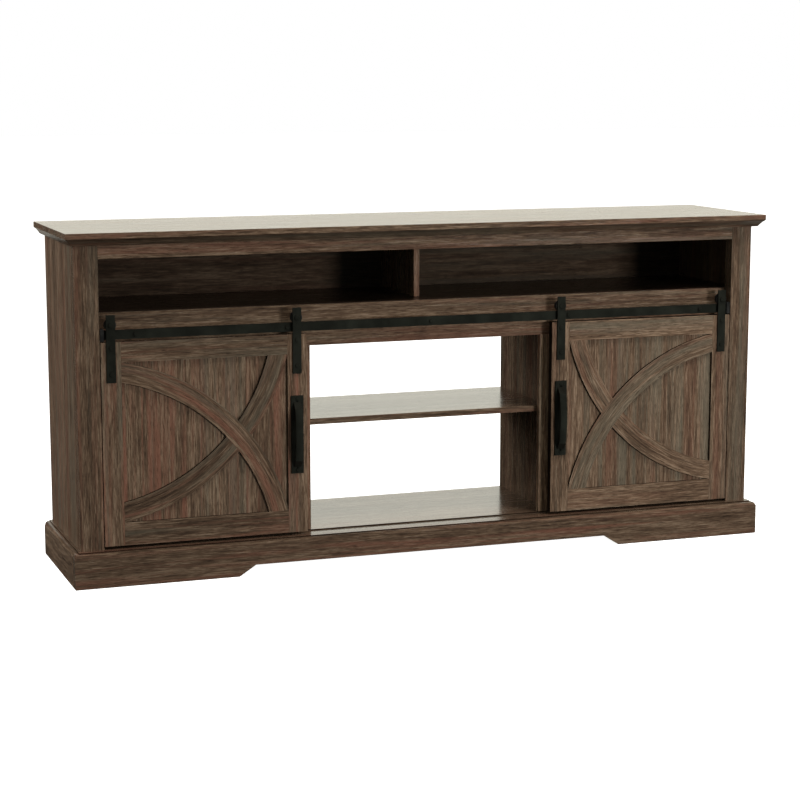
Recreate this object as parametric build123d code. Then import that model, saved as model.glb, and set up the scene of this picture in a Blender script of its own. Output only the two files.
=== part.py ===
from build123d import *
import os
from math import hypot

# ------------------------------------------------------------------ driving dimensions (mm)
# X runs left to right, the front faces -Y, Z is up from the floor. The origin is under the
# middle of the top board.
WIDTH = 1800.0
DEPTH = 410.0
HEIGHT = 831.0

# Top board: a square upper edge above an undercut moulding on the front and both ends.
TOP_THICK = 30.0
TOP_EDGE_H = 13.5
TOP_UNDERCUT = 14.8
MOULDING_BULGE = 1.2
TOP_SIDE_OVERHANG = 25.0
TOP_REAR_OVERHANG = 10.0
TOP_FRONT_OVERHANG = 30.0

# Carcass boards.
BOARD = 15.0
BACK_THICK = 5.0
STILE_W = 55.0
TOP_RAIL_H = 32.3
CUBBY_FRONT_H = 128.2
TRACK_RAIL_H = 99.0
RAIL_SETBACK = 33.0
CUBBY_DIVIDER_SETBACK = 109.0
CENTER_BAY_HALF = 302.0
INNER_STILE_W = 50.0
DIVIDER_HALF_SPAN = 336.0

# Base.
PLINTH_H = 85.0
PLINTH_FRONT_PROJECT = 28.0
PLINTH_SIDE_THICK = 20.0
PLINTH_ROUND = 11.0
PLINTH_BEAD = 1.5
PLINTH_QUIRK = 2.5
FLOOR_RISE = 3.0
FOOT_ARCH_H = 26.0
FOOT_W = 395.0
FOOT_SLANT = 41.0

# Adjustable shelves on pins.
PIN_R = 2.5
PIN_IN = 6.0
PIN_OUT = 9.0
PIN_HOLE_DEPTH = 6.5
PIN_HOLE_FIT = 0.1
PIN_FIRST_RISE = 188.5
PIN_PITCH = 65.0
PIN_ROWS = 3
SHELF_ROW = 1
PIN_REAR_INSET = 66.0
PIN_FRONT_INSET = 50.0
SHELF_FRONT_GAP = 2.0
SHELF_END_GAP = 0.5

# Sliding doors: a 12 mm panel with a 6 mm frame and curved braces laid on its face.
DOOR_OVERLAP = 18.5
DOOR_STILE_GAP = 2.0
DOOR_FLOOR_GAP = 4.0
DOOR_TRACK_GAP = 6.0
DOOR_PANEL_THICK = 12.0
DOOR_FRAME_THICK = 6.0
DOOR_FRAME_W = 48.0
DOOR_BOTTOM_RAIL_W = 55.0
BRACE_W = 47.0
BRACE_SAGITTA = 82.0

# Track: a flat bar on spacers, in two lengths that meet on the middle bolt.
TRACK_H = 22.0
TRACK_THICK = 5.0
TRACK_DROP = 37.5
TRACK_SETBACK = 4.0
TRACK_END_GAP = 2.0
TRACK_END_BOLT = 86.0
BOLT_R = 4.0
BOLT_HEAD_R = 5.6
BOLT_HEAD_H = 2.4
SPACER_R = 7.5
HOLE_FIT = 0.3
BOLT_BITE = 12.0
STOP_W = 8.5
STOP_LAP = 3.5

# Hangers and wheels.
STRAP_W = 21.5
STRAP_THICK = 3.0
STRAP_EDGE = 24.0
STRAP_CORNER = 1.0
STRAP_BELOW_TOP = 95.0
STRAP_ABOVE_TRACK = 36.0
STRAP_SCREWS = (13.0, 75.0)
SCREW_R = 3.0
SCREW_HEAD_R = 5.0
SCREW_HEAD_H = 1.8
SCREW_BITE = 14.0
WHEEL_R = 12.0
WHEEL_FLANGE = 2.0
WHEEL_RUN_GAP = 0.3
FLANGE_T = 2.7
AXLE_R = 4.0
AXLE_FIT = 0.05
AXLE_COLLAR_R = 6.0

# Pull handles.
HANDLE_EDGE = 9.5
HANDLE_W = 31.0
HANDLE_H = 190.0
HANDLE_DROP = 148.0
HANDLE_PLATE_T = 3.0
GRIP_W = 18.5
GRIP_T = 4.0
GRIP_END = 16.0
GRIP_LEG_RUN = 16.0
GRIP_LEG_OUT = 13.0
GRIP_OUT = 20.0
HANDLE_SCREW_R = 2.0
HANDLE_SCREW_HEAD_R = 4.0
HANDLE_SCREW_HEAD_H = 1.5
HANDLE_SCREW_BITE = 12.0

# ------------------------------------------------------------------ derived planes
TOP_FRONT = -DEPTH / 2
FRONT = TOP_FRONT + TOP_FRONT_OVERHANG
REAR = DEPTH / 2 - TOP_REAR_OVERHANG
CARCASS_REAR = REAR - BACK_THICK
RAIL_FRONT = FRONT + RAIL_SETBACK
RAIL_BACK = RAIL_FRONT + BOARD
SIDE = WIDTH / 2 - TOP_SIDE_OVERHANG
SIDE_IN = SIDE - BOARD
STILE_IN = SIDE - STILE_W
UNDER_TOP = HEIGHT - TOP_THICK
TOP_RAIL_Z = UNDER_TOP - TOP_RAIL_H
DECK_Z = TOP_RAIL_Z - CUBBY_FRONT_H
DECK_UNDER = DECK_Z - BOARD
TRACK_RAIL_Z = DECK_Z - TRACK_RAIL_H
FLOOR_Z = PLINTH_H + FLOOR_RISE
FLOOR_UNDER = FLOOR_Z - BOARD
DIVIDER_OUT = DIVIDER_HALF_SPAN + BOARD
INNER_STILE_OUT = CENTER_BAY_HALF + INNER_STILE_W

TRACK_TOP = DECK_Z - TRACK_DROP
TRACK_Z = TRACK_TOP - TRACK_H
TRACK_FRONT = FRONT + TRACK_SETBACK
TRACK_BACK = TRACK_FRONT + TRACK_THICK
TRACK_END = STILE_IN - TRACK_END_GAP
BOLT_Z = TRACK_Z + TRACK_H / 2
BOLT_LAST = STILE_IN - TRACK_END_BOLT
BOLT_XS = [BOLT_LAST * k / 2 for k in (-2, -1, 0, 1, 2)]

DOOR_IN = CENTER_BAY_HALF + DOOR_OVERLAP
DOOR_OUT = STILE_IN - DOOR_STILE_GAP
DOOR_Z = FLOOR_Z + DOOR_FLOOR_GAP
DOOR_TOP = TRACK_Z - DOOR_TRACK_GAP
DOOR_FACE = FRONT + DOOR_FRAME_THICK
DOOR_BACK = DOOR_FACE + DOOR_PANEL_THICK
OPEN_IN = DOOR_IN + DOOR_FRAME_W
OPEN_OUT = DOOR_OUT - DOOR_FRAME_W
OPEN_Z = DOOR_Z + DOOR_BOTTOM_RAIL_W
OPEN_TOP = DOOR_TOP - DOOR_FRAME_W

STRAP_XS = (DOOR_IN + STRAP_EDGE, DOOR_OUT - STRAP_EDGE)
STRAP_FRONT = FRONT - STRAP_THICK
WHEEL_Z = TRACK_TOP + WHEEL_RUN_GAP + WHEEL_R
GROOVE_HALF = TRACK_THICK / 2 + HOLE_FIT
WHEEL_HALF = GROOVE_HALF + FLANGE_T
WHEEL_Y = (TRACK_FRONT + TRACK_BACK) / 2

HANDLE_X = DOOR_IN + HANDLE_EDGE + HANDLE_W / 2
HANDLE_TOP = DOOR_TOP - HANDLE_DROP
HANDLE_Z = HANDLE_TOP - HANDLE_H
PLATE_FRONT = FRONT - HANDLE_PLATE_T

SHELF_UNDER = FLOOR_Z + PIN_FIRST_RISE + SHELF_ROW * PIN_PITCH + PIN_R
PIN_YS = (RAIL_BACK + PIN_FRONT_INSET, CARCASS_REAR - PIN_REAR_INSET)
PIN_ZS = [FLOOR_Z + PIN_FIRST_RISE + k * PIN_PITCH for k in range(PIN_ROWS)]


# ------------------------------------------------------------------ shape helpers
def board(x0, x1, y0, y1, z0, z1):
    """A rectangular board between two corners."""
    low = (Align.MIN, Align.MIN, Align.MIN)
    return Pos(x0, y0, z0) * Box(x1 - x0, y1 - y0, z1 - z0, align=low)


def rod_y(x, z, y0, y1, radius):
    """A round bar along Y."""
    bar = Cylinder(radius, y1 - y0, align=(Align.CENTER, Align.CENTER, Align.MIN))
    return Pos(x, y0, z) * Rot(-90, 0, 0) * bar


def rod_x(x0, x1, y, z, radius):
    """A round bar along X."""
    bar = Cylinder(radius, x1 - x0, align=(Align.CENTER, Align.CENTER, Align.MIN))
    return Pos(x0, y, z) * Rot(0, 90, 0) * bar


def flipped(shape):
    """The mirror image on the other side of the middle plane."""
    return mirror(shape, about=Plane.YZ)


def both_sides(solids):
    """The solids and their mirror images."""
    return list(solids) + [flipped(s) for s in solids]


def along_x(outline, length):
    """Extrudes an outline of (y, z) edges to both sides of the middle plane."""
    face = Plane.YZ * make_face(outline)
    return extrude(face, length / 2, both=True)


def along_y(outline, y0, y1):
    """Extrudes an outline of (x, z) edges from y0 to y1."""
    face = Plane.XZ.offset(-y0) * make_face(outline)
    return extrude(face, -(y1 - y0))


# ------------------------------------------------------------------ top board and carcass
def top_edge(edge, far):
    """Section of the top board: a square lip over a slightly bulging undercut."""
    lip = HEIGHT - TOP_EDGE_H
    foot = edge + TOP_UNDERCUT
    return [
        Polyline((far, UNDER_TOP), (far, HEIGHT), (edge, HEIGHT), (edge, lip)),
        SagittaArc((edge, lip), (foot, UNDER_TOP), MOULDING_BULGE),
        Line((foot, UNDER_TOP), (far, UNDER_TOP)),
    ]


def top_panel():
    """The top board, moulded on the front and both ends and square at the back."""
    front = along_x(top_edge(TOP_FRONT, DEPTH / 2), WIDTH)
    left = along_y(top_edge(-WIDTH / 2, 0), TOP_FRONT, DEPTH / 2)
    return front & (left + flipped(left))


def side_panel():
    """The right side, from the floor to the top board, drilled for shelf pins."""
    panel = board(SIDE_IN, SIDE, RAIL_FRONT, REAR, 0, UNDER_TOP)
    return panel - pin_holes(SIDE_IN, 1)


def front_stile():
    """The right front stile, flush with the side's outer face."""
    return board(STILE_IN, SIDE, FRONT, RAIL_FRONT, 0, UNDER_TOP)


def top_rail():
    """The narrow rail under the top board."""
    return board(-STILE_IN, STILE_IN, FRONT, FRONT + BOARD, TOP_RAIL_Z, UNDER_TOP)


def track_rail():
    """The set-back rail that carries the track, drilled for its bolts."""
    rail = board(-SIDE_IN, SIDE_IN, RAIL_FRONT, RAIL_BACK, TRACK_RAIL_Z, DECK_Z)
    for x in BOLT_XS:
        rail -= rod_y(x, BOLT_Z, RAIL_FRONT, RAIL_FRONT + BOLT_BITE + HOLE_FIT, BOLT_R + HOLE_FIT)
    return rail


def cubby_deck():
    """The board under the two upper cubbies, flush with the rail's top."""
    return board(-SIDE_IN, SIDE_IN, RAIL_BACK, CARCASS_REAR, DECK_UNDER, DECK_Z)


def cubby_divider():
    """The set-back upright between the two upper cubbies."""
    front = FRONT + CUBBY_DIVIDER_SETBACK
    return board(-BOARD / 2, BOARD / 2, front, CARCASS_REAR, DECK_Z, UNDER_TOP)


def inner_stile():
    """The right face strip beside the centre bay."""
    return board(CENTER_BAY_HALF, INNER_STILE_OUT, RAIL_FRONT, RAIL_BACK, FLOOR_Z, TRACK_RAIL_Z)


def divider():
    """The right upright behind the face strip, drilled for pins on both faces."""
    panel = board(DIVIDER_HALF_SPAN, DIVIDER_OUT, RAIL_BACK, CARCASS_REAR, FLOOR_Z, DECK_UNDER)
    return panel - pin_holes(DIVIDER_HALF_SPAN, 1) - pin_holes(DIVIDER_OUT, -1)


def bottom_panel():
    """The floor board, with a lower lip between the front stiles that carries on the plinth's top."""
    deck = board(-SIDE_IN, SIDE_IN, RAIL_FRONT, CARCASS_REAR, FLOOR_UNDER, FLOOR_Z)
    return deck + board(-STILE_IN, STILE_IN, FRONT, RAIL_FRONT, FLOOR_UNDER, PLINTH_H)


def back_panel_upper():
    """The thin back of the two upper cubbies."""
    return board(-SIDE_IN, SIDE_IN, CARCASS_REAR, REAR, DECK_UNDER + BOARD / 2, UNDER_TOP)


def back_panel_side():
    """The thin back of the right compartment."""
    low = FLOOR_UNDER
    return board(DIVIDER_HALF_SPAN, SIDE_IN, CARCASS_REAR, REAR, low, DECK_UNDER + BOARD / 2)


# ------------------------------------------------------------------ base
def plinth_edge(edge, far):
    """Section of the plinth: an upright face, a bead step, a rounded shoulder and a quirk."""
    step = edge + PLINTH_BEAD
    flat = step + PLINTH_ROUND
    shoulder = PLINTH_H - PLINTH_ROUND
    ledge = PLINTH_H - PLINTH_QUIRK
    bend = ledge - shoulder
    return [
        Polyline((edge, shoulder), (edge, 0), (far, 0), (far, PLINTH_H), (flat, PLINTH_H)),
        Polyline((flat, PLINTH_H), (flat, ledge), (step + bend, ledge)),
        RadiusArc((step + bend, ledge), (step, shoulder), -bend),
        Line((step, shoulder), (edge, shoulder)),
    ]


def plinth_front():
    """The front of the plinth with a low arch between its two feet."""
    outer = SIDE + PLINTH_SIDE_THICK
    face = FRONT - PLINTH_FRONT_PROJECT
    body = along_x(plinth_edge(face, FRONT), 2 * outer)
    left = along_y(plinth_edge(-outer, 0), face, FRONT)
    foot = outer - FOOT_W
    top = foot - FOOT_SLANT
    arch = [Polyline((-foot, 0), (-top, FOOT_ARCH_H), (top, FOOT_ARCH_H), (foot, 0), close=True)]
    return (body & (left + flipped(left))) - along_y(arch, face, FRONT)


def plinth_side():
    """The right side of the plinth, laid on the cabinet's side."""
    left = along_y(plinth_edge(-SIDE - PLINTH_SIDE_THICK, -SIDE), FRONT, REAR)
    return flipped(left)


def base_rear_rail():
    """The rail that carries the floor board's rear edge."""
    return board(-SIDE_IN, SIDE_IN, CARCASS_REAR - BOARD, CARCASS_REAR, 0, FLOOR_UNDER)


# ------------------------------------------------------------------ shelves and pins
def pin_holes(x, way):
    """Blind pin holes bored into a panel face at x, towards way along X."""
    ends = sorted((x, x + way * PIN_HOLE_DEPTH))
    return [rod_x(*ends, y, z, PIN_R + PIN_HOLE_FIT) for y in PIN_YS for z in PIN_ZS]


def center_shelf():
    """The shelf between the two dividers."""
    half = DIVIDER_HALF_SPAN - SHELF_END_GAP
    front = RAIL_BACK + SHELF_FRONT_GAP
    return board(-half, half, front, CARCASS_REAR, SHELF_UNDER, SHELF_UNDER + BOARD)


def side_shelf():
    """The shelf behind the right door."""
    inner = DIVIDER_OUT + SHELF_END_GAP
    front = RAIL_BACK + SHELF_FRONT_GAP
    top = SHELF_UNDER + BOARD
    return board(inner, SIDE_IN - SHELF_END_GAP, front, CARCASS_REAR, SHELF_UNDER, top)


def shelf_pins():
    """Four round pins under each of the three shelves."""
    pins = []
    for x, way in ((DIVIDER_HALF_SPAN, -1), (DIVIDER_OUT, 1), (SIDE_IN, -1)):
        ends = sorted((x - way * PIN_IN, x + way * PIN_OUT))
        pins += [rod_x(*ends, y, PIN_ZS[SHELF_ROW], PIN_R) for y in PIN_YS]
    return both_sides(pins)


# ------------------------------------------------------------------ track
def track():
    """The right half of the track bar."""
    bar = board(0, TRACK_END, TRACK_FRONT, TRACK_BACK, TRACK_Z, TRACK_TOP)
    for x in BOLT_XS:
        bar -= rod_y(x, BOLT_Z, TRACK_FRONT, TRACK_BACK, BOLT_R + HOLE_FIT)
    return bar


def track_spacers():
    """Tubes that stand the track off its rail."""
    tubes = []
    for x in BOLT_XS:
        tube = rod_y(x, BOLT_Z, TRACK_BACK, RAIL_FRONT, SPACER_R)
        tubes.append(tube - rod_y(x, BOLT_Z, TRACK_BACK, RAIL_FRONT, BOLT_R + HOLE_FIT))
    return tubes


def screw(x, z, face, head_r, head_h, shank_r, shank):
    """A domed screw or bolt whose head bears on the plane y = face."""
    head = rod_y(x, z, face - head_h, face, head_r)
    rim = head.edges().filter_by(GeomType.CIRCLE).sort_by(Axis.Y)[0]
    return fillet(rim, head_h * 0.6) + rod_y(x, z, face, face + shank, shank_r)


def track_bolts():
    """The bolts through the track and its spacers."""
    shank = RAIL_FRONT - TRACK_FRONT + BOLT_BITE
    return [screw(x, BOLT_Z, TRACK_FRONT, BOLT_HEAD_R, BOLT_HEAD_H, BOLT_R, shank) for x in BOLT_XS]


def track_end_stops():
    """Slotted blocks round the two ends of the track."""
    back = TRACK_BACK + TRACK_SETBACK
    low = TRACK_Z - STOP_LAP
    block = board(TRACK_END - STOP_W, TRACK_END, FRONT, back, low, TRACK_TOP + STOP_LAP)
    slot = board(TRACK_END - STOP_W, TRACK_END, TRACK_FRONT, TRACK_BACK, TRACK_Z, TRACK_TOP)
    return both_sides([block - slot])


# ------------------------------------------------------------------ doors (right hand)
def fastener_holes():
    """Drillings in the door for the hanger screws and the handle screws."""
    holes = []
    for x in STRAP_XS:
        for drop in STRAP_SCREWS:
            end = FRONT + SCREW_BITE + HOLE_FIT
            holes.append(rod_y(x, DOOR_TOP - drop, FRONT, end, SCREW_R + HOLE_FIT))
    for z in handle_screw_zs():
        end = FRONT + HANDLE_SCREW_BITE + HOLE_FIT
        holes.append(rod_y(HANDLE_X, z, FRONT, end, HANDLE_SCREW_R + HOLE_FIT))
    return holes


def door_panel():
    """The door's full-size backing panel."""
    return board(DOOR_IN, DOOR_OUT, DOOR_FACE, DOOR_BACK, DOOR_Z, DOOR_TOP) - fastener_holes()


def door_stile(x0):
    """An upright of the door's frame, running its full height."""
    strip = board(x0, x0 + DOOR_FRAME_W, FRONT, DOOR_FACE, DOOR_Z, DOOR_TOP)
    return strip - fastener_holes()


def door_rail(z0, z1):
    """A cross rail of the door's frame, between the uprights."""
    return board(OPEN_IN, OPEN_OUT, FRONT, DOOR_FACE, z0, z1)


def brace_ring(z_from, z_to):
    """An arched band from the opening's inner edge at z_from to its outer edge at z_to."""
    run = OPEN_OUT - OPEN_IN
    rise = z_to - z_from
    chord = hypot(run, rise)
    radius = (chord ** 2 / 4 + BRACE_SAGITTA ** 2) / (2 * BRACE_SAGITTA)
    reach = (radius - BRACE_SAGITTA) / chord
    side = 1 if rise > 0 else -1
    x = (OPEN_IN + OPEN_OUT) / 2 + side * rise * reach
    z = (z_from + z_to) / 2 - side * run * reach
    ring = rod_y(x, z, FRONT, DOOR_FACE, radius) - rod_y(x, z, FRONT, DOOR_FACE, radius - BRACE_W)
    return ring & board(OPEN_IN, OPEN_OUT, FRONT, DOOR_FACE, OPEN_Z, OPEN_TOP)


def brace_long():
    """The arched brace that runs unbroken from corner to corner."""
    return brace_ring(OPEN_Z, OPEN_TOP)


def short_braces():
    """The two lengths of the opposite brace, on either side of the long one."""
    return list((brace_ring(OPEN_TOP, OPEN_Z) - brace_long()).solids())


def hanger_straps():
    """Flat straps from the door's face up past the track, drilled for screws and axle."""
    straps = []
    for x in STRAP_XS:
        x0 = x - STRAP_W / 2
        top = TRACK_TOP + STRAP_ABOVE_TRACK
        strap = board(x0, x0 + STRAP_W, STRAP_FRONT, FRONT, DOOR_TOP - STRAP_BELOW_TOP, top)
        strap = fillet(strap.edges().filter_by(Axis.Y), STRAP_CORNER)
        for drop in STRAP_SCREWS:
            strap -= rod_y(x, DOOR_TOP - drop, STRAP_FRONT, FRONT, SCREW_R + HOLE_FIT)
        straps.append(strap - rod_y(x, WHEEL_Z, STRAP_FRONT, FRONT, AXLE_R + HOLE_FIT))
    return straps


def hanger_screws():
    """Two screws through each strap into the door."""
    shank = STRAP_THICK + SCREW_BITE
    size = (SCREW_HEAD_R, SCREW_HEAD_H, SCREW_R, shank)
    return [screw(x, DOOR_TOP - drop, STRAP_FRONT, *size) for x in STRAP_XS for drop in STRAP_SCREWS]


def wheel_axles():
    """Axles with a head in front of the strap, a collar behind it and a rear keeper."""
    axles = []
    for x in STRAP_XS:
        front = WHEEL_Y - WHEEL_HALF - HOLE_FIT
        back = WHEEL_Y + WHEEL_HALF + HOLE_FIT
        axle = screw(x, WHEEL_Z, STRAP_FRONT, AXLE_COLLAR_R, SCREW_HEAD_H, AXLE_R, back - STRAP_FRONT)
        axle += rod_y(x, WHEEL_Z, FRONT, front, AXLE_COLLAR_R)
        axles.append(axle + rod_y(x, WHEEL_Z, back, back + BOLT_HEAD_H / 2, AXLE_COLLAR_R))
    return axles


def wheel(x):
    """A flanged wheel whose groove straddles the track."""
    y0 = WHEEL_Y - WHEEL_HALF
    y1 = WHEEL_Y + WHEEL_HALF
    blank = rod_y(x, WHEEL_Z, y0, y1, WHEEL_R + WHEEL_FLANGE)
    groove = rod_y(x, WHEEL_Z, y0 + FLANGE_T, y1 - FLANGE_T, WHEEL_R + 2 * WHEEL_FLANGE)
    groove -= rod_y(x, WHEEL_Z, y0 + FLANGE_T, y1 - FLANGE_T, WHEEL_R)
    return blank - groove - rod_y(x, WHEEL_Z, y0, y1, AXLE_R + AXLE_FIT)


def handle_screw_zs():
    """Heights of the two handle screws, in the plate's end tabs."""
    return (HANDLE_Z + GRIP_END / 2, HANDLE_TOP - GRIP_END / 2)


def handle_plate():
    """The handle's back plate."""
    half = HANDLE_W / 2
    plate = board(HANDLE_X - half, HANDLE_X + half, PLATE_FRONT, FRONT, HANDLE_Z, HANDLE_TOP)
    for z in handle_screw_zs():
        plate -= rod_y(HANDLE_X, z, PLATE_FRONT, FRONT, HANDLE_SCREW_R + HOLE_FIT)
    return plate


def grip_outline(inset):
    """The bowed grip's outline, moved in by inset, with its feet run back past the plate."""
    low = HANDLE_Z + GRIP_END + inset
    high = HANDLE_TOP - GRIP_END - inset
    knee = PLATE_FRONT - GRIP_LEG_OUT + inset
    crown = PLATE_FRONT - GRIP_OUT + inset
    low_knee = low + GRIP_LEG_RUN
    high_knee = high - GRIP_LEG_RUN
    return [
        Polyline((knee, low_knee), (PLATE_FRONT, low), (PLATE_FRONT, high), (knee, high_knee)),
        ThreePointArc((knee, high_knee), (crown, (low + high) / 2), (knee, low_knee)),
    ]


def handle_grip():
    """The bowed bar that stands out from the plate, open behind for the fingers."""
    grip = along_x(grip_outline(0), GRIP_W) - along_x(grip_outline(GRIP_T), 2 * GRIP_W)
    return Pos(HANDLE_X, 0, 0) * grip


def handle_screws():
    """The two screws in the plate's end tabs."""
    shank = HANDLE_PLATE_T + HANDLE_SCREW_BITE
    size = (HANDLE_SCREW_HEAD_R, HANDLE_SCREW_HEAD_H, HANDLE_SCREW_R, shank)
    return [screw(HANDLE_X, z, PLATE_FRONT, *size) for z in handle_screw_zs()]


# ------------------------------------------------------------------ output
def save(node, *solids):
    """Writes one node, as one solid or as a group of identical ones."""
    shape = solids[0] if len(solids) == 1 else Compound(children=list(solids))
    export_step(shape, f"parts/{node}.step")


def save_pair(stem, solid):
    """Writes a right-hand piece and its mirror image."""
    save(stem + "_right", solid)
    save(stem + "_left", flipped(solid))


def save_door(side, turn):
    """Writes one door's pieces; turn places a right-hand solid on its side."""
    pieces = {
        "panel": [door_panel()],
        "stile_inner": [door_stile(DOOR_IN)],
        "stile_outer": [door_stile(OPEN_OUT)],
        "rail_top": [door_rail(OPEN_TOP, DOOR_TOP)],
        "rail_bottom": [door_rail(DOOR_Z, OPEN_Z)],
        "brace_long": [brace_long()],
        "short_braces": short_braces(),
        "hanger_straps": hanger_straps(),
        "hanger_screws": hanger_screws(),
        "wheel_axles": wheel_axles(),
        "handle_plate": [handle_plate()],
        "handle_grip": [handle_grip()],
        "handle_screws": handle_screws(),
    }
    for name, solids in pieces.items():
        save(f"{side}_door_{name}", *[turn(s) for s in solids])
    for place, x in zip(("inner", "outer"), STRAP_XS):
        save(f"{side}_wheel_{place}", turn(wheel(x)))


os.makedirs("parts", exist_ok=True)
save("top_panel", top_panel())
save("top_rail", top_rail())
save("track_rail", track_rail())
save("cubby_deck", cubby_deck())
save("cubby_divider", cubby_divider())
save("bottom_panel", bottom_panel())
save("back_panel_upper", back_panel_upper())
save("plinth_front", plinth_front())
save("base_rear_rail", base_rear_rail())
save("center_shelf", center_shelf())
save("shelf_pins", *shelf_pins())
save("track_spacers", *track_spacers())
save("track_bolts", *track_bolts())
save("track_end_stops", *track_end_stops())
save_pair("side_panel", side_panel())
save_pair("front_stile", front_stile())
save_pair("inner_stile", inner_stile())
save_pair("divider", divider())
save_pair("back_panel", back_panel_side())
save_pair("plinth", plinth_side())
save_pair("side_shelf", side_shelf())
save_pair("track", track())
save_door("right", lambda solid: solid)
save_door("left", flipped)
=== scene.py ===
import math
import bpy
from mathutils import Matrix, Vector


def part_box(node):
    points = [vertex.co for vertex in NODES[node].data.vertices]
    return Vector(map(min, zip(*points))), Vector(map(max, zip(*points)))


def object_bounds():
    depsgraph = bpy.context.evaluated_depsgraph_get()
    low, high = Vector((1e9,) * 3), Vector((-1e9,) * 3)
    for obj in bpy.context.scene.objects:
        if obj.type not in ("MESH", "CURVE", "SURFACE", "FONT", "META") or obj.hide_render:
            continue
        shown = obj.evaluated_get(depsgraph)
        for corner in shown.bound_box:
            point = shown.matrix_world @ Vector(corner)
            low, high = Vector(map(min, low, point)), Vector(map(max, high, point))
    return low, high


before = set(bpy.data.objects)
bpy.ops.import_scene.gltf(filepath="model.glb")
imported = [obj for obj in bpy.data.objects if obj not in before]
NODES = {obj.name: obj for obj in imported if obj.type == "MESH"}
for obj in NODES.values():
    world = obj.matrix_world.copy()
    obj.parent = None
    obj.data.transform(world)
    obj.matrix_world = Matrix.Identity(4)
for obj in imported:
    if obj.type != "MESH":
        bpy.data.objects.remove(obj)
CAD_LOW, CAD_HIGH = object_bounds()
SIDES = {"left": -1, "right": 1}

# ------------------------------------------------------------------ sizes in metres, linear colours
# Angles start at the front, where a positive azimuth is to the right.
CAMERA_AZIMUTH = -19.76
CAMERA_ELEVATION = 9.24
CAMERA_DISTANCE = 5.234
CAMERA_LENS = 93.0
CAMERA_TARGET = Vector((-0.020, 0.0, 0.371))
SENSOR = 36.0
FLOOR_SIZE = 60.0
FLOOR_GAP = 0.0005

# The studio: what matt surfaces get from above and below, and what glossy ones reflect from the card
# that stands behind the object on its right, and from everywhere else in front.
SKY_LIGHT = 0.36
GROUND_LIGHT = 0.10
CARD_LIGHT = 1.07
SIDE_GLOSS = 0.06
SKY_TINT = (1.0, 0.985, 0.86)
WHITE = (1.0, 1.0, 1.0)
KEY_TINT = (1.0, 0.98, 0.94)

# How far the edges are eased on the cabinet, the doors and the metal, and how the pieces' edges are found.
CABINET_EASE = 0.0008
DOOR_EASE = 0.0003
METAL_EASE = 0.0005
EASE_SEGMENTS = 2
EASE_ANGLE = math.radians(50)
WELD_REACH = 0.00002
BRACE_RISE = 0.082

# Wood tones, from the darkest lines to the palest, then the streaks, the pores, and the dark tone painted
# on darkened faces as bare board and as painted shade.
DARK_TONE = (0.034, 0.021, 0.014)
MID_TONE = (0.100, 0.063, 0.040)
PALE_TONE = (0.208, 0.146, 0.098)
RED_TONE = (0.165, 0.072, 0.048)
GREY_TONE = (0.098, 0.090, 0.066)
PORE_TONE = (0.018, 0.011, 0.007)
BARE_AND_SHADE_TONE = (0.006, 0.003, 0.002)
BLACK_PAINT = (0.0085, 0.0092, 0.0072)

# How far the print's lines and its broad bands are drawn out along the grain, as a share of their width.
GRAIN_STRETCH = 0.06
BAND_STRETCH = 0.03

# How much of a darkened face is painted dark (bare board and painted shade on walls, painted shade
# elsewhere), how much painted shade the top's underside gets, and the height of the plinth's step that is
# painted as a shadow line.
BARE_AND_SHADE_COVER = 0.92
UNDERCUT_SHADE_COVER = 0.35
QUIRK_SHADOW_DEPTH = 0.0026

# The doors' prints differ: how red and how ashy each is, how light its upright and its level pieces are,
# and which faces of its panel and outer stile are painted dark, as bare board and painted shade on the
# right door. The face strips beside the middle bay are painted lighter to lift the doors' shade on them,
# the right one more.
DOOR_RED = {"left": 0.8, "right": 0.3}
DOOR_ASH = {"left": 0.5, "right": 0.6}
DOOR_LIGHT = {"left": (1.08, 0.88), "right": (1.15, 1.22)}
DOOR_WALL = {"left": None, "right": "walls"}
INNER_PAINTED_LIGHT = {"left": 1.35, "right": 1.9}


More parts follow.
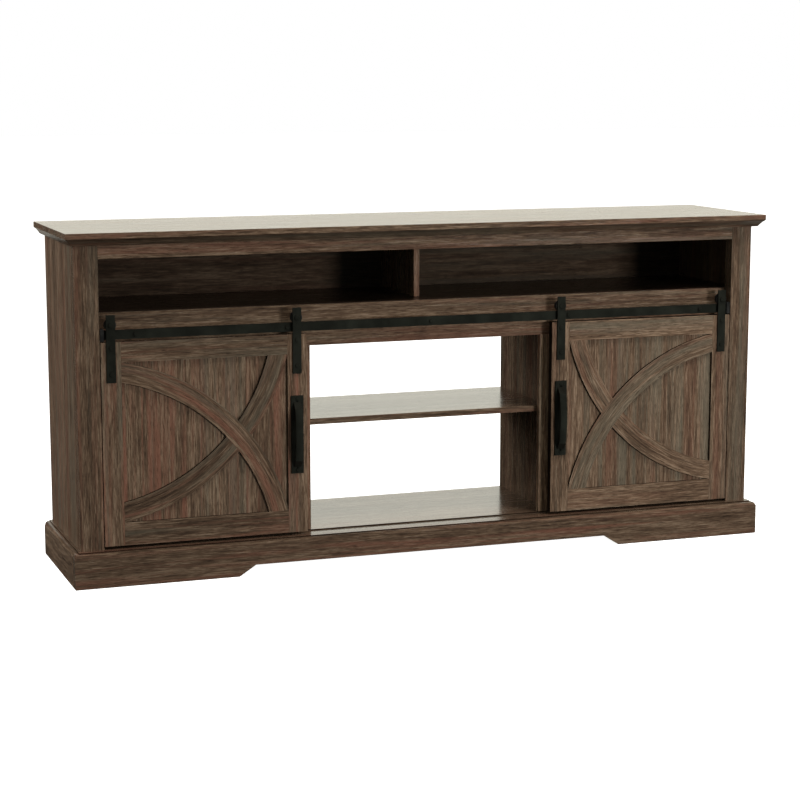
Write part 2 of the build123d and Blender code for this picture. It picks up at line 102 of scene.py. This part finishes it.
# ------------------------------------------------------------------ shader helpers
class Shader:
    """A material's node tree, with short ways to add and join nodes."""

    def __init__(self, name):
        self.material = bpy.data.materials.new(name)
        self.material.use_nodes = True
        self.tree = self.material.node_tree
        self.tree.nodes.clear()
        self.surface = self.add("ShaderNodeBsdfPrincipled")
        output = self.add("ShaderNodeOutputMaterial")
        self.tree.links.new(self.surface.outputs[0], output.inputs["Surface"])

    def add(self, kind, inputs=None, **settings):
        node = self.tree.nodes.new(kind)
        for key, value in settings.items():
            setattr(node, key, value)
        for key, value in (inputs or {}).items():
            self.feed(node.inputs[key], value)
        return node

    def feed(self, socket, value):
        if isinstance(value, bpy.types.NodeSocket):
            self.tree.links.new(value, socket)
        elif socket.type == "RGBA" and len(value) == 3:
            socket.default_value = (*value, 1.0)
        else:
            socket.default_value = value

    def set(self, **inputs):
        for key, value in inputs.items():
            self.feed(self.surface.inputs[key.replace("_", " ")], value)

    def math(self, operation, a, b=0.0, c=0.0):
        node = self.add("ShaderNodeMath", operation=operation)
        for socket, value in zip(node.inputs, (a, b, c)):
            self.feed(socket, value)
        return node.outputs[0]

    def noise(self, where, scale, detail=3.0, roughness=0.55, distortion=0.0):
        values = {"Vector": where, "Scale": scale, "Detail": detail}
        values.update({"Roughness": roughness, "Distortion": distortion})
        return self.add("ShaderNodeTexNoise", values).outputs[0]

    def span(self, value, low, high, to_low=0.0, to_high=1.0):
        values = {"Value": value, "From Min": low, "From Max": high}
        values.update({"To Min": to_low, "To Max": to_high})
        return self.add("ShaderNodeMapRange", values).outputs[0]

    def blend(self, factor, a, b):
        node = self.add("ShaderNodeMix", data_type="RGBA")
        self.feed(node.inputs[0], factor)
        self.feed(node.inputs[6], a)
        self.feed(node.inputs[7], b)
        return node.outputs[2]

    def ramp(self, value, *stops):
        node = self.add("ShaderNodeValToRGB", {"Fac": value})
        elements = node.color_ramp.elements
        while len(elements) < len(stops):
            elements.new(0.5)
        for element, (place, tone) in zip(elements, stops):
            element.position = place
            element.color = (*tone, 1.0)
        return node.outputs[0]

    def bump(self, height, depth, strength):
        values = {"Height": height, "Distance": depth, "Strength": strength}
        self.set(Normal=self.add("ShaderNodeBump", values).outputs[0])


def straight_grain(shader, axis, seed, squeeze):
    """Coordinates squeezed along the grain, so that noise drawn on them runs with it."""
    stretch = [1.0, 1.0, 1.0]
    stretch["XYZ".index(axis)] = squeeze
    where = shader.add("ShaderNodeTexCoord").outputs["Object"]
    values = {"Vector": where, "Scale": stretch, "Location": (seed, seed * 0.7, seed * 1.3)}
    return shader.add("ShaderNodeMapping", values).outputs[0]


def curved_grain(shader, center, seed, squeeze):
    """Coordinates that run along circles round a centre (x, z), for a bent brace."""
    where = shader.add("ShaderNodeTexCoord").outputs["Object"]
    split = shader.add("ShaderNodeSeparateXYZ", {"Vector": where})
    x = shader.math("SUBTRACT", split.outputs[0], center[0])
    z = shader.math("SUBTRACT", split.outputs[2], center[1])
    square = shader.math("MULTIPLY_ADD", x, x, shader.math("MULTIPLY", z, z))
    radius = shader.math("SQRT", square)
    turn = shader.math("MULTIPLY", shader.math("ARCTAN2", z, x), 0.5 * squeeze)
    values = {"X": shader.math("ADD", radius, seed), "Y": split.outputs[1], "Z": turn}
    return shader.add("ShaderNodeCombineXYZ", values).outputs[0]


def bare_and_shade_share(shader, kind):
    """How dark a face is painted: the cover's share on the faces of that kind, and 0 on the rest.

    The dark is bare board and painted shade on the walls of wood, and painted shade alone on metal walls
    and on the other kinds. "walls" don't look forwards or backwards, "front" do, "under" look down,
    and "quirk" are the upright faces of the step along the plinth's top, painted as a shadow line.
    """
    normal = shader.add("ShaderNodeNewGeometry").outputs["Normal"]
    _, y, z = shader.add("ShaderNodeSeparateXYZ", {"Vector": normal}).outputs
    if kind == "walls":
        return shader.span(shader.math("ABSOLUTE", y), 0.5, 0.9, BARE_AND_SHADE_COVER, 0.0)
    if kind == "front":
        return shader.span(shader.math("ABSOLUTE", y), 0.5, 0.9, 0.0, BARE_AND_SHADE_COVER)
    if kind == "under":
        return shader.span(z, -0.5, -0.1, UNDERCUT_SHADE_COVER, 0.0)
    upright = shader.span(shader.math("ABSOLUTE", z), 0.2, 0.5, BARE_AND_SHADE_COVER, 0.0)
    where = shader.add("ShaderNodeTexCoord").outputs["Object"]
    height = shader.add("ShaderNodeSeparateXYZ", {"Vector": where}).outputs[2]
    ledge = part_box("plinth_front")[1].z - QUIRK_SHADOW_DEPTH
    return shader.math("MULTIPLY", upright, shader.math("GREATER_THAN", height, ledge))


def laminate(name, grain, seed=0.0, light=1.0, red=0.5, gloss=0.22, coat=0.3, bare_and_shade_kind=None, ashy=0.5):
    """Dark walnut print laminate. grain is an axis letter, or the (x, z) centre of a curved piece.

    The optional kind of face, known to the share function above, is painted dark: as bare board
    and painted shade on walls, and as painted shade alone on the other kinds.
    """
    shader = Shader(name)
    run = straight_grain if isinstance(grain, str) else curved_grain
    where = run(shader, grain, seed, GRAIN_STRETCH)
    along = run(shader, grain, seed, BAND_STRETCH)
    broad = shader.noise(along, 26.0, 3.0, 0.6, 0.3)
    streak = shader.noise(where, 160.0, 4.0, 0.65, 0.4)
    fine = shader.noise(where, 420.0, 3.0, 0.65, 0.3)
    hair = shader.noise(where, 900.0, 2.0, 0.5)
    hue = shader.noise(along, 42.0, 4.0, 0.65, 0.3)
    grey = shader.noise(along, 31.0, 4.0, 0.65, 0.3)
    level = shader.math("MULTIPLY_ADD", streak, 0.46, shader.math("MULTIPLY", broad, 0.24))
    level = shader.math("MULTIPLY_ADD", fine, 0.42, level)
    body = shader.ramp(level, (0.44, DARK_TONE), (0.56, MID_TONE), (0.68, PALE_TONE))
    body = shader.blend(shader.span(hue, 0.50, 0.66, 0.0, red), body, RED_TONE)
    body = shader.blend(shader.span(grey, 0.50, 0.64, 0.0, ashy), body, GREY_TONE)
    pores = shader.span(hair, 0.54, 0.66, 0.0, 0.6)
    body = shader.blend(pores, body, PORE_TONE)
    tint = shader.add("ShaderNodeHueSaturation", {"Color": body, "Value": light}).outputs[0]
    rough = shader.span(streak, 0.3, 0.7, gloss - 0.06, gloss + 0.08)
    if coat:
        coat = shader.span(level, 0.45, 0.70, coat * 0.6, coat * 1.4)
    # Faces of the given kind are painted dark: bare board and painted shade on walls, painted shade alone
    # on the other kinds.
    if bare_and_shade_kind:
        share = bare_and_shade_share(shader, bare_and_shade_kind)
        tint = shader.blend(share, tint, BARE_AND_SHADE_TONE)
        rough = shader.math("MAXIMUM", rough, share)
        if coat:
            coat = shader.span(share, 0.0, 0.5, coat, 0.0)
        shader.set(Specular_IOR_Level=shader.span(share, 0.0, 0.5, 0.5, 0.05))
    shader.set(Base_Color=tint, Roughness=rough, Coat_Weight=coat)
    shader.set(Coat_Roughness=gloss * 0.6)
    shader.bump(shader.math("MULTIPLY_ADD", hair, -0.5, fine), 0.00025, 0.6)
    return shader.material


def black_steel():
    """Satin black powder coat, with a faint orange peel and rubbed patches, and side walls painted dark as
    painted shade.
    """
    shader = Shader("black_powder_coat")
    where = shader.add("ShaderNodeTexCoord").outputs["Object"]
    peel = shader.noise(where, 1500.0, 2.0)
    cloud = shader.noise(where, 22.0, 4.0, 0.6)
    paler = tuple(2.0 * c for c in BLACK_PAINT)
    tone = shader.blend(shader.span(cloud, 0.40, 0.75), BLACK_PAINT, paler)
    # The side walls are painted dark as painted shade.
    tone = shader.blend(bare_and_shade_share(shader, "walls"), tone, BARE_AND_SHADE_TONE)
    shader.set(Base_Color=tone, Roughness=shader.span(cloud, 0.3, 0.7, 0.50, 0.66))
    shader.set(IOR=1.35, Specular_IOR_Level=0.35)
    shader.bump(peel, 0.00006, 0.6)
    return shader.material


def nylon():
    """Black moulded nylon for the wheels and the end stops."""
    shader = Shader("black_nylon")
    where = shader.add("ShaderNodeTexCoord").outputs["Object"]
    grain = shader.noise(where, 900.0, 3.0)
    dust = shader.noise(where, 60.0, 3.0)
    tone = shader.blend(shader.span(dust, 0.5, 0.8), (0.010, 0.010, 0.010), (0.028, 0.027, 0.025))
    shader.set(Base_Color=tone, Roughness=shader.span(grain, 0.3, 0.7, 0.5, 0.7))
    shader.bump(grain, 0.00005, 0.5)
    return shader.material


def zinc():
    """Zinc-plated steel for the shelf pins."""
    shader = Shader("zinc_plate")
    where = shader.add("ShaderNodeTexCoord").outputs["Object"]
    spangle = shader.noise(where, 500.0, 3.0)
    tone = shader.blend(spangle, (0.42, 0.43, 0.44), (0.62, 0.62, 0.61))
    shader.set(Base_Color=tone, Metallic=1.0, Roughness=shader.span(spangle, 0.3, 0.7, 0.28, 0.45))
    return shader.material


def hardboard():
    """The thin printed backs: the same print, flatter and duller, and painted darker as painted shade
    inside the cabinet.
    """
    return laminate("back_print", "X", 3.1, light=0.38, red=0.2, gloss=0.45, coat=0.0)


# ------------------------------------------------------------------ finishing the CAD pieces
def paint(node, material):
    slots = NODES[node].data.materials
    slots.clear()
    slots.append(material)


def ease(node, width):
    """Takes the sharpness off a piece's edges."""
    piece = NODES[node]
    weld = piece.modifiers.new("weld", "WELD")
    weld.merge_threshold = WELD_REACH
    bevel = piece.modifiers.new("ease", "BEVEL")
    bevel.width = width
    bevel.segments = EASE_SEGMENTS
    bevel.limit_method = "ANGLE"
    bevel.angle_limit = EASE_ANGLE
    bevel.harden_normals = True


def ring_center(side, falling):
    """Centre (x, z) of a door brace's arc, from the opening's corners and the brace's rise.

    falling picks the arc that the short braces follow, and the other is the long brace's.
    """
    low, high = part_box(f"{side}_door_brace_long")
    chord = math.hypot(high.x - low.x, high.z - low.z)
    reach = (chord / 2 / BRACE_RISE * chord / 4 - BRACE_RISE / 2) / chord
    outward = SIDES[side]
    x = (low.x + high.x) / 2 + outward * (high.z - low.z) * reach
    drop = (high.x - low.x) * reach * (-1 if falling else 1)
    return x, (low.z + high.z) / 2 - drop


# ------------------------------------------------------------------ materials and who wears them
BOARDS = {
    # The top's underside is painted dark as painted shade in the cove's undercut.
    "top_panel": laminate("laminate_top", "X", 0.3, light=1.1, coat=0.2, bare_and_shade_kind="under"),
    "top_rail": laminate("laminate_rail_top", "X", 1.7, light=1.25),
    "track_rail": laminate("laminate_rail_track", "X", 2.9, light=0.9),
    # The cubby deck is painted dark as painted shade under the top.
    "cubby_deck": laminate("laminate_deck", "X", 4.1, light=0.3, gloss=0.3, coat=0.0),
    # The cubby divider is painted lighter as painted light on its shaded wall.
    "cubby_divider": laminate("laminate_cubby_divider", "Z", 4.7, light=1.2),
    # The floor board's front is painted dark as painted shade under the doors.
    "bottom_panel": laminate("laminate_floor_board", "X", 5.3, coat=0.5, bare_and_shade_kind="front"),
    # The plinth's step along its top is painted dark as a painted shadow line.
    "plinth_front": laminate("laminate_plinth_front", "X", 6.1, light=0.86, red=0.8, bare_and_shade_kind="quirk", ashy=0.0),
    "base_rear_rail": laminate("laminate_rear_rail", "X", 6.9, light=0.8),
    "center_shelf": laminate("laminate_shelf", "X", 7.7, coat=0.5),
}
BACKS = hardboard()
STEEL = black_steel()
NYLON = nylon()
ZINC = zinc()

for node, material in BOARDS.items():
    paint(node, material)
    ease(node, CABINET_EASE)
for node in ("back_panel_upper", "back_panel_left", "back_panel_right"):
    paint(node, BACKS)
paint("shelf_pins", ZINC)
for node in ("track_left", "track_right", "track_spacers", "track_bolts"):
    paint(node, STEEL)
paint("track_end_stops", NYLON)

for side, way in SIDES.items():
    seed = 0.37 * way
    upright = laminate(f"laminate_upright_{side}", "Z", 8.3 + seed)
    inner = laminate(f"laminate_inner_{side}", "Z", 9.1 + seed, light=INNER_PAINTED_LIGHT[side])
    # The dividers are the face strips' print, painted darker as painted shade inside the bays.
    divider = laminate(f"laminate_divider_{side}", "Z", 9.1 + seed, light=0.75)
    ends = laminate(f"laminate_side_{side}", "Z", 9.9 + seed, gloss=0.32, coat=0.0)
    # The side plinths' step along the top is painted dark as a painted shadow line.
    base = laminate(f"laminate_plinth_{side}", "Y", 10.7 + seed, gloss=0.32, coat=0.0, bare_and_shade_kind="quirk")
    shelf = laminate(f"laminate_side_shelf_{side}", "X", 11.5 + seed, light=0.8)
    for node, material in {
        f"front_stile_{side}": upright,
        f"inner_stile_{side}": inner,
        f"divider_{side}": divider,
        f"side_panel_{side}": ends,
        f"plinth_{side}": base,
        f"side_shelf_{side}": shelf,
    }.items():
        paint(node, material)
        ease(node, CABINET_EASE)
    door = f"{side}_door_"
    red = DOOR_RED[side]
    ash = DOOR_ASH[side]
    bright, dull = DOOR_LIGHT[side]
    long_ring = ring_center(side, False)
    short_ring = ring_center(side, True)
    wall = DOOR_WALL[side]
    # The door frames' and braces' walls, and the right door's panel and outer stile walls, are painted
    # dark, partly as bare board and partly as painted shade beside the overlays.
    panel = laminate(f"laminate_door_panel_{side}", "Z", 12.3 + seed, bright, red, bare_and_shade_kind=wall, ashy=ash)
    frame_up = laminate(f"laminate_door_stile_{side}", "Z", 13.1 + seed, bright, red, bare_and_shade_kind="walls")
    frame_edge = laminate(f"laminate_door_edge_{side}", "Z", 13.1 + seed, bright, red)
    frame_across = laminate(f"laminate_door_rail_{side}", "X", 13.9 + seed, dull, red, bare_and_shade_kind="walls")
    long_arc = laminate(f"laminate_brace_long_{side}", long_ring, 14.7 + seed, bright, red, bare_and_shade_kind="walls")
    short_arc = laminate(f"laminate_brace_short_{side}", short_ring, 15.5 + seed, dull, red, bare_and_shade_kind="walls")
    for node, material in {
        "panel": panel,
        "stile_inner": frame_up,
        "stile_outer": frame_up if wall else frame_edge,
        "rail_top": frame_across,
        "rail_bottom": frame_across,
        "brace_long": long_arc,
        "short_braces": short_arc,
    }.items():
        paint(door + node, material)
        ease(door + node, DOOR_EASE)
    for node in ("hanger_straps", "handle_plate", "handle_grip"):
        paint(door + node, STEEL)
        ease(door + node, METAL_EASE)
    for node in ("hanger_screws", "wheel_axles", "handle_screws"):
        paint(door + node, STEEL)
    for place in ("inner", "outer"):
        paint(f"{side}_wheel_{place}", NYLON)


# ------------------------------------------------------------------ stage, light and camera
def aim(thing, target):
    thing.rotation_euler = (target - thing.location).to_track_quat("-Z", "Y").to_euler()


def toward(azimuth, elevation):
    """The unit vector from the object to a place at that azimuth and elevation."""
    a = math.radians(azimuth)
    e = math.radians(elevation)
    return Vector((math.sin(a) * math.cos(e), -math.cos(a) * math.cos(e), math.sin(e)))


def softbox(name, azimuth, elevation, distance, side, power, tone=WHITE):
    """A square light aimed at the middle of the object, which gives no highlights."""
    lamp = bpy.data.lights.new(name, "AREA")
    lamp.shape = "RECTANGLE"
    lamp.size = side
    lamp.size_y = side
    lamp.energy = power
    lamp.color = tone
    thing = bpy.data.objects.new(name, lamp)
    thing.visible_camera = False
    thing.visible_glossy = False
    bpy.context.scene.collection.objects.link(thing)
    middle = (CAD_LOW + CAD_HIGH) / 2
    thing.location = middle + toward(azimuth, elevation) * distance
    aim(thing, middle)


def build_stage():
    """A white floor just under the object, which neither lights it nor shows in its gloss."""
    mesh = bpy.data.meshes.new("floor")
    h = FLOOR_SIZE / 2
    level = CAD_LOW.z - FLOOR_GAP
    corners = [(x, y, level) for x, y in ((-h, -h), (h, -h), (h, h), (-h, h))]
    mesh.from_pydata(corners, [], [(0, 1, 2, 3)])
    floor = bpy.data.objects.new("floor", mesh)
    bpy.context.scene.collection.objects.link(floor)
    shader = Shader("floor_white")
    shader.set(Base_Color=(0.85, 0.85, 0.85), Roughness=0.9)
    shader.set(Emission_Color=WHITE, Emission_Strength=1.0)
    mesh.materials.append(shader.material)
    floor.visible_diffuse = False
    floor.visible_glossy = False


def build_world():
    """White to the camera, a soft sky to matt surfaces, and the card to glossy ones."""
    world = bpy.data.worlds.new("studio")
    bpy.context.scene.world = world
    world.use_nodes = True
    tree = world.node_tree
    background = tree.nodes["Background"]
    path = tree.nodes.new("ShaderNodeLightPath")
    way = tree.nodes.new("ShaderNodeSeparateXYZ")
    tree.links.new(tree.nodes.new("ShaderNodeTexCoord").outputs["Generated"], way.inputs[0])

    def span(value, low, high, to_low, to_high):
        node = tree.nodes.new("ShaderNodeMapRange")
        tree.links.new(value, node.inputs["Value"])
        for key, number in zip(("From Min", "From Max", "To Min", "To Max"), (low, high, to_low, to_high)):
            if isinstance(number, bpy.types.NodeSocket):
                tree.links.new(number, node.inputs[key])
            else:
                node.inputs[key].default_value = number
        return node.outputs[0]

    def tint_of_light():
        node = tree.nodes.new("ShaderNodeMix")
        node.data_type = "RGBA"
        tree.links.new(path.outputs["Is Camera Ray"], node.inputs[0])
        node.inputs[6].default_value = (*SKY_TINT, 1.0)
        node.inputs[7].default_value = (*WHITE, 1.0)
        return node.outputs[2]

    sky = span(way.outputs["Z"], -0.3, 0.4, GROUND_LIGHT, SKY_LIGHT)
    card = span(way.outputs["X"], -0.10, 0.10, 0.0, CARD_LIGHT)
    card = span(way.outputs["Y"], 0.2, 0.6, SIDE_GLOSS, card)
    light = span(path.outputs["Is Diffuse Ray"], 0.0, 1.0, card, sky)
    tree.links.new(span(path.outputs["Is Camera Ray"], 0.0, 1.0, light, 1.0), background.inputs["Strength"])
    tree.links.new(tint_of_light(), background.inputs["Color"])


def build_camera():
    data = bpy.data.cameras.new("camera")
    data.lens = CAMERA_LENS
    data.sensor_width = SENSOR
    data.clip_end = 100.0
    camera = bpy.data.objects.new("camera", data)
    bpy.context.scene.collection.objects.link(camera)
    camera.location = CAMERA_TARGET + toward(CAMERA_AZIMUTH, CAMERA_ELEVATION) * CAMERA_DISTANCE
    aim(camera, CAMERA_TARGET)
    bpy.context.scene.camera = camera


build_stage()
build_world()
build_camera()
softbox("key", 48.0, 58.0, 4.0, 1.2, 130.0, KEY_TINT)
softbox("fill_left", -112.0, 20.0, 4.0, 2.0, 135.0)
softbox("fill_front", 27.0, 6.0, 5.0, 1.0, 150.0)
bpy.context.scene.view_settings.view_transform = "Standard"
